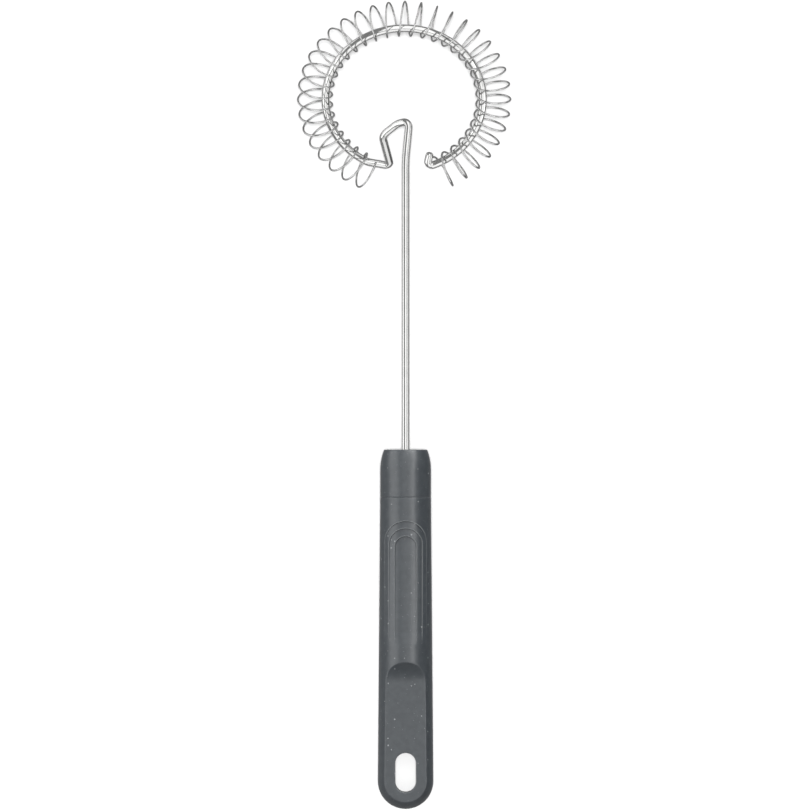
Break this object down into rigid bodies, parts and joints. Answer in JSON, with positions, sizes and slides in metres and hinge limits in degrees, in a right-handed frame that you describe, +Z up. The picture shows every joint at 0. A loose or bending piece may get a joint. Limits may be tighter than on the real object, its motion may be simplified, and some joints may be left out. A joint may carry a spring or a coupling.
{
  "type": "spiral whisk",
  "caption": "Spiral whisk: a fine spring coil threaded loosely on the tilted open ring of one bent wire, held by a slim moulded handle with thumb hollows and a hang slot.",
  "frame": {"origin": "on the surface that the whisk lies on, under the middle of its bounding box", "axes": "+Y from the handle's tail towards the ring, +Z up out of the front, +X to the right seen from above"},
  "size_m": [0.0716, 0.2674, 0.0422],
  "materials": {
    "polished_wire": "polished stainless wire",
    "spring_wire": "drawn stainless spring wire",
    "core_plastic": "plain moulded, hidden",
    "collar_plastic": "satin moulded, slate grey with fine light flecks",
    "grip_plastic": "satin moulded, slate grey with fine light flecks"
  },
  "bodies": {
    "frame": {"frame_wire": "polished_wire", "handle_core": "core_plastic", "handle_collar": "collar_plastic", "handle_grip": "grip_plastic"},
    "coil": {"whisk_coil": "spring_wire"}
  },
  "joints": [
    {"name": "coil_shift", "type": "hinge", "parent": "frame", "child": "coil", "pos_m": [0, 0.10257, 0.02025], "axis": [0, -0.536, 0.8442], "range_deg": [0, 5]}
  ]
}
